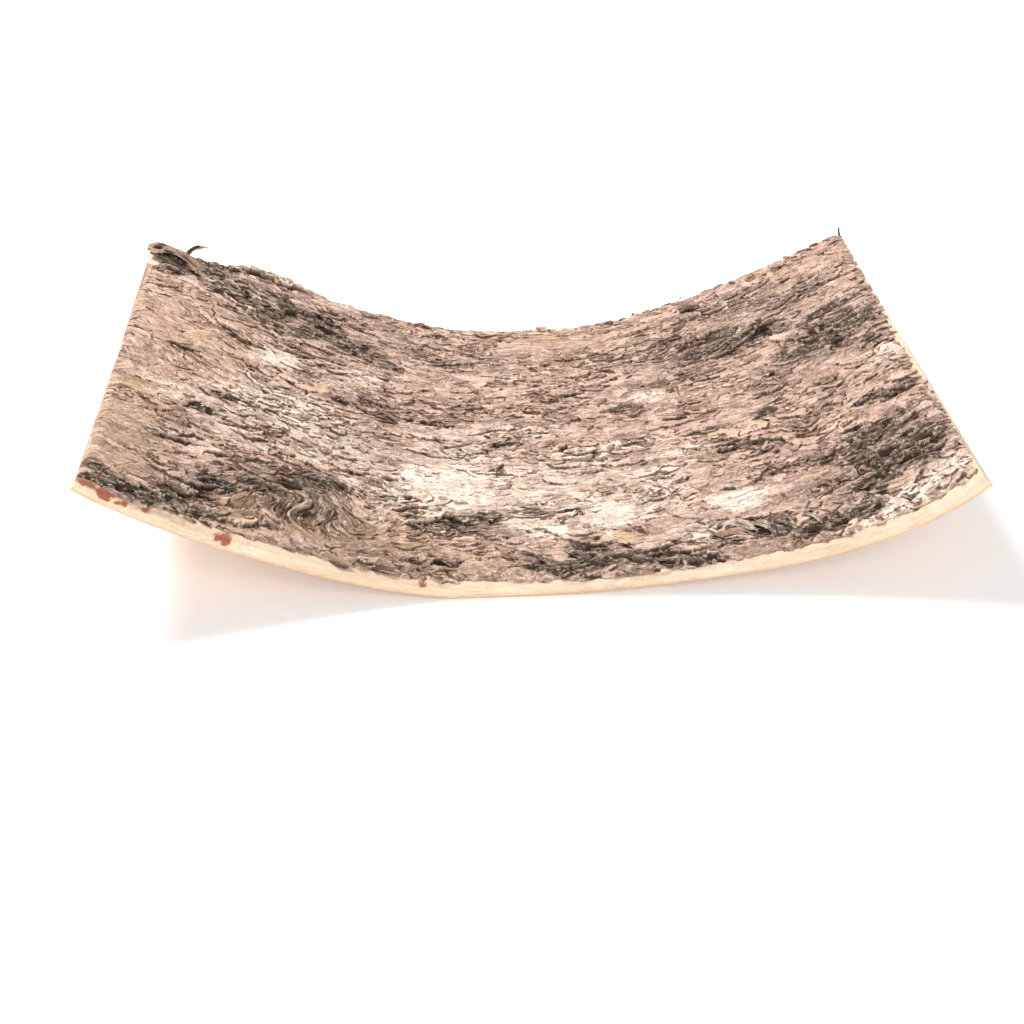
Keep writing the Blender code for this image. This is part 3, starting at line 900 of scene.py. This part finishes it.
def fibre_group():
    """Fine fibres along the grain: their brightness, a height for bump, crumbs, cracks and flecks."""
    group, entry, out = new_group(
        "bark_fibre",
        [("Place", "NodeSocketVector", None), ("Contrast", "NodeSocketFloat", 1.0)],
        [
            ("Shade", "NodeSocketFloat"), ("Height", "NodeSocketFloat"), ("Crumbs", "NodeSocketFloat"),
            ("Cracks", "NodeSocketFloat"), ("Flecks", "NodeSocketFloat"),
        ],
    )
    place, contrast = entry.outputs["Place"], entry.outputs["Contrast"]
    streaks = speckle(group, place, 3.2, 1.0, 3.0, 3.1)
    threads = speckle(group, place, 1.1, 0.5, 2.0, 7.7)
    crumbs = speckle(group, place, 0.7, 0.9, 2.0, 11.3)
    both = maths(group, "ADD", times(group, streaks, 0.6), times(group, threads, 0.4))
    grains = speckle(group, place, 0.5, 0.6, 1.0, 91.0)
    grit = times(group, maths(group, "SUBTRACT", grains, 0.5), 0.7)
    uneven = maths(group, "ADD", maths(group, "SUBTRACT", both, 0.5), grit)
    shade = times(group, uneven, contrast)
    link(group, maths(group, "ADD", shade, 1.0), out.inputs["Shade"])
    wander = speckle(group, place, 4.5, 2.4, 2.0, 13.0)
    split = maths(group, "ABSOLUTE", maths(group, "SUBTRACT", wander, 0.5))
    where = ramp(group, speckle(group, place, 9.0, 3.5, 1.0, 17.0), 0.5, 0.62)
    cracks = times(group, ramp(group, split, 0.016, 0.004), where)
    depth = maths(group, "ADD", both, times(group, crumbs, 0.5))
    link(group, maths(group, "SUBTRACT", depth, times(group, cracks, 1.2)), out.inputs["Height"])
    link(group, cracks, out.inputs["Cracks"])
    flecks = maths(
        group, "MAXIMUM", ramp(group, speckle(group, place, 1.5, 1.1, 1.0, 71.0), 0.6, 0.68),
        ramp(group, speckle(group, place, 0.8, 0.9, 1.0, 83.0), 0.67, 0.72),
    )
    link(group, flecks, out.inputs["Flecks"])
    link(group, ramp(group, crumbs, 0.6, 0.72), out.inputs["Crumbs"])
    return group


def connect(tree, shader, colour, roughness, fibres, strength, depth):
    """Give the shader its colour and roughness, and the fibres' bump, depth millimetres deep."""
    link(tree, colour, shader.inputs["Base Color"])
    link(tree, roughness, shader.inputs["Roughness"])
    sizes = {"Height": fibres.outputs["Height"], "Strength": strength, "Distance": depth * MM}
    link(tree, add(tree, "ShaderNodeBump", sizes).outputs[0], shader.inputs["Normal"])


def outer_bark_material(fibre):
    """Grey-pink, tan and charcoal layers, pale where they are worn, with painted shade in the hollows and
    under lifted edges and painted highlights on lifted lips and ridges.
    """
    material, tree, shader = plain_material("weathered_outer_bark")
    place = add(tree, "ShaderNodeUVMap", uv_map="sheet").outputs[0]
    fibres = add(tree, "ShaderNodeGroup", {"Place": place, "Contrast": 2.1}, node_tree=fibre)
    tone, tint, painted_shade, painted_highlight, busy, charcoal, pale, warm = (value_of(tree, name) for name in SHADES)
    blotch = speckle(tree, place, 12.0, 8.0, 3.0, 21.0)
    patch = speckle(tree, place, 3.4, 2.6, 3.0, 33.0)

    pinkish = blend(tree, ramp(tree, tone, 0.0, 1.0), (0.21, 0.132, 0.1, 1), (0.67, 0.467, 0.378, 1))
    tan = blend(tree, ramp(tree, tone, 0.0, 1.0), (0.22, 0.13, 0.078, 1), (0.60, 0.405, 0.275, 1))
    warmed = times(tree, warm, ramp(tree, blotch, 0.3, 0.6))
    colour = blend(tree, maths(tree, "MAXIMUM", warmed, ramp(tree, tint, 0.72, 1.0)), pinkish, tan)
    greyish = times(tree, ramp(tree, tint, 0.3, 0.0), ramp(tree, blotch, 0.45, 0.65, 0.2, 0.8))
    colour = blend(tree, greyish, colour, (0.22, 0.165, 0.135, 1))
    milky = blend(tree, ramp(tree, tone, 0.1, 0.9), (0.58, 0.44, 0.355, 1), (0.93, 0.80, 0.68, 1))
    paled = times(tree, pale, ramp(tree, patch, 0.25, 0.5), clamp=True)
    colour = blend(tree, paled, colour, milky)
    sooty = blend(tree, ramp(tree, tone, 0.3, 1.0), (0.026, 0.018, 0.013, 1), (0.20, 0.148, 0.116, 1))
    soot = times(tree, ramp(tree, charcoal, 0.05, 0.7), ramp(tree, patch, 0.72, 0.48), clamp=True)
    solid = ramp(tree, charcoal, 0.72, 0.98, 0.0, 0.9)
    colour = blend(tree, maths(tree, "MAXIMUM", soot, solid), colour, sooty)
    colour = blend(tree, 1.0, colour, fibres.outputs["Shade"], "MULTIPLY")

    flecks = times(tree, fibres.outputs["Flecks"], ramp(tree, charcoal, 0.0, 0.5, 0.2, 0.5))
    # Painted highlight on lifted lips and ridges
    highlight_mask = times(tree, painted_highlight, 0.68)
    crumbs = times(tree, fibres.outputs["Crumbs"], 0.3)
    # Painted shade in the fine cracks, stronger where the crust is rough
    cracks = times(tree, fibres.outputs["Cracks"], ramp(tree, busy, 0.0, 0.7, 0.35, 1.0))
    # Two levels of painted shade in the hollows and under lifted edges, brown and near black
    shallow_shade, deep = ramp(tree, painted_shade, 0.1, 0.45, 0.0, 0.72), ramp(tree, painted_shade, 0.3, 0.85, 0.0, 0.95)
    for mask, shade in (
        (flecks, (0.78, 0.64, 0.53, 1)), (highlight_mask, (0.74, 0.56, 0.43, 1)),
        (crumbs, (0.12, 0.07, 0.045, 1)), (cracks, (0.05, 0.028, 0.018, 1)),
        (shallow_shade, (0.085, 0.046, 0.03, 1)), (deep, (0.02, 0.012, 0.009, 1)),
    ):
        colour = blend(tree, mask, colour, shade)
    connect(tree, shader, colour, ramp(tree, blotch, 0.2, 0.8, 0.82, 0.95), fibres, 0.8, 0.45)
    shader.inputs["Specular IOR Level"].default_value = 0.1
    return material


def inner_bark_material(fibre):
    """Cream at the cut edges and bare rims, with bits of red-brown film, and tan with dashes below."""
    material, tree, shader = plain_material("cream_inner_bark")
    place = add(tree, "ShaderNodeUVMap", uv_map="sheet").outputs[0]
    fibres = add(tree, "ShaderNodeGroup", {"Place": place, "Contrast": 0.7}, node_tree=fibre)
    level, cut, underside = (value_of(tree, name) for name in ("level", "cut", "underside"))
    film, grime = value_of(tree, "film"), value_of(tree, "grime")
    blotch = speckle(tree, place, 22.0, 9.0, 3.0, 5.0)
    patch = speckle(tree, place, 7.0, 3.0, 4.0, 9.0)

    cream = blend(tree, ramp(tree, blotch, 0.3, 0.7), (0.76, 0.57, 0.39, 1), (0.86, 0.70, 0.53, 1))
    flat = add(tree, "ShaderNodeSeparateXYZ", {0: place})
    along = times(tree, maths(tree, "ADD", flat.outputs[0], flat.outputs[1]), 120.0)
    layer = add(tree, "ShaderNodeCombineXYZ", {"X": along, "Y": times(tree, level, 9.0)})
    grown = {"Vector": layer.outputs[0], "Scale": 1.0, "Detail": 3.0}
    plies = add(tree, "ShaderNodeTexNoise", grown).outputs["Fac"]
    top = times(tree, maths(tree, "SUBTRACT", 1.0, cut), ramp(tree, level, 0.5, 0.9), clamp=True)
    cream = blend(tree, times(tree, top, 0.75), cream, (0.66, 0.49, 0.34, 1))
    lower = times(tree, cut, ramp(tree, level, 0.45, 0.0), clamp=True)
    colour = blend(tree, times(tree, lower, 0.8), cream, (0.72, 0.46, 0.27, 1))
    lines = times(tree, cut, ramp(tree, plies, 0.5, 0.3, 0.0, 0.3), clamp=True)
    colour = blend(tree, lines, colour, (0.55, 0.34, 0.19, 1))
    colour = blend(tree, times(tree, grime, 0.75), colour, (0.36, 0.26, 0.20, 1))
    colour = blend(tree, film, colour, (0.34, 0.115, 0.065, 1))

    tan = blend(tree, ramp(tree, blotch, 0.25, 0.75), (0.58, 0.36, 0.21, 1), (0.74, 0.50, 0.31, 1))
    streak = speckle(tree, place, 30.0, 2.6, 4.0, 61.0)
    rust = maths(tree, "ADD", times(tree, blotch, 0.5), times(tree, streak, 0.6))
    below = blend(tree, ramp(tree, rust, 0.5, 0.68, 0.0, 0.6), tan, (0.42, 0.20, 0.12, 1))
    dashes = ramp(tree, speckle(tree, place, 11.0, 0.9, 1.0, 55.0), 0.62, 0.7)
    below = blend(tree, times(tree, dashes, 0.7), below, (0.27, 0.14, 0.085, 1))
    colour = blend(tree, underside, colour, below)
    colour = blend(tree, 1.0, colour, fibres.outputs["Shade"], "MULTIPLY")
    connect(tree, shader, colour, ramp(tree, patch, 0.2, 0.8, 0.62, 0.85), fibres, 0.45, 0.2)
    shader.inputs["Specular IOR Level"].default_value = 0.3
    return material


# ---------------------------------------------------------------- studio

FLOOR_REACH = 6.0
# Each softbox: name, place and width in metres, and watts
SOFTBOXES = (
    ("key_softbox", (-0.55, 0.6, 1.0), 0.45, 24.0),
    ("front_softbox", (0.3, -1.2, 0.8), 0.8, 9.0),
)
CAMERA_PLACE = (-0.0381, -0.5370, 0.2843)
CAMERA_DIP = 29.99       # degrees below level
CAMERA_TURN = 3.83       # degrees clockwise, seen from above
LENS = 57.4              # millimetres, on a 36 mm sensor
WORLD_LIGHT = 0.45       # how bright the surroundings are as light; the camera sees them white


def studio():
    """White floor, soft lights and the camera."""
    scene = bpy.context.scene
    scene.view_settings.view_transform = "Standard"
    scene.view_settings.look = "None"

    world = bpy.data.worlds.new("studio")
    world.use_nodes = True
    background = world.node_tree.nodes["Background"]
    background.inputs["Color"].default_value = (1.0, 0.99, 0.98, 1)
    seen = add(world.node_tree, "ShaderNodeLightPath").outputs["Is Camera Ray"]
    brightness = ramp(world.node_tree, seen, 0.0, 1.0, WORLD_LIGHT, 1.0)
    link(world.node_tree, brightness, background.inputs["Strength"])
    scene.world = world

    bm = grid(1, 1, FLOOR_REACH)
    mesh = bpy.data.meshes.new("floor")
    bm.to_mesh(mesh)
    bm.free()
    paper, _, shader = plain_material("white_paper")
    shader.inputs["Base Color"].default_value = (0.93, 0.93, 0.93, 1)
    shader.inputs["Roughness"].default_value = 1.0
    shader.inputs["Specular IOR Level"].default_value = 0.0
    shader.inputs["Emission Color"].default_value = (1.0, 1.0, 1.0, 1)
    shader.inputs["Emission Strength"].default_value = 0.2
    mesh.materials.append(paper)
    floor = show("floor", mesh)

    for name, place, size, power in SOFTBOXES:
        lamp = bpy.data.lights.new(name, "AREA")
        lamp.size = size
        lamp.energy = power
        lamp_object = show(name, lamp)
        lamp_object.location = place
        lamp_object.rotation_euler = (-Vector(place)).to_track_quat("-Z", "Y").to_euler()

    camera = bpy.data.cameras.new("camera")
    camera.sensor_width = 36.0
    camera.lens = LENS
    camera.clip_start = 0.01
    scene.camera = show("camera", camera)
    scene.camera.location = CAMERA_PLACE
    scene.camera.rotation_euler = (math.radians(90 - CAMERA_DIP), 0.0, math.radians(-CAMERA_TURN))


studio()
FIBRE = fibre_group()
OUTER = outer_bark_material(FIBRE)
INNER = inner_bark_material(FIBRE)
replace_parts(outer_crust(OUTER)[0], "bark_sheet")
inner_bark(INNER)
lifted_scales("small_scales", OUTER, 501, 1300, (0.9, 2.4), 0.14, (0.4, 1.3), (5, 3))
for name, peels, cells, thick in (
    ("corner_flap", CORNER_FLAP, (34, 12), 0.4), ("back_edge_splinters", BACK_EDGE, (16, 4), 0.3),
    ("shell_curl", SHELL, (34, 12), 0.4), ("torn_peels", PEELS, (16, 6), 0.3),
    ("rim_shreds", RIM_SHREDS, (10, 3), 0.2),
):
    placed_peels(name, OUTER, peels, cells, thick)
lifted_scales("large_scales", OUTER, 502, 150, (2.2, 4.2), 0.2, (0.6, 1.5), (6, 3))
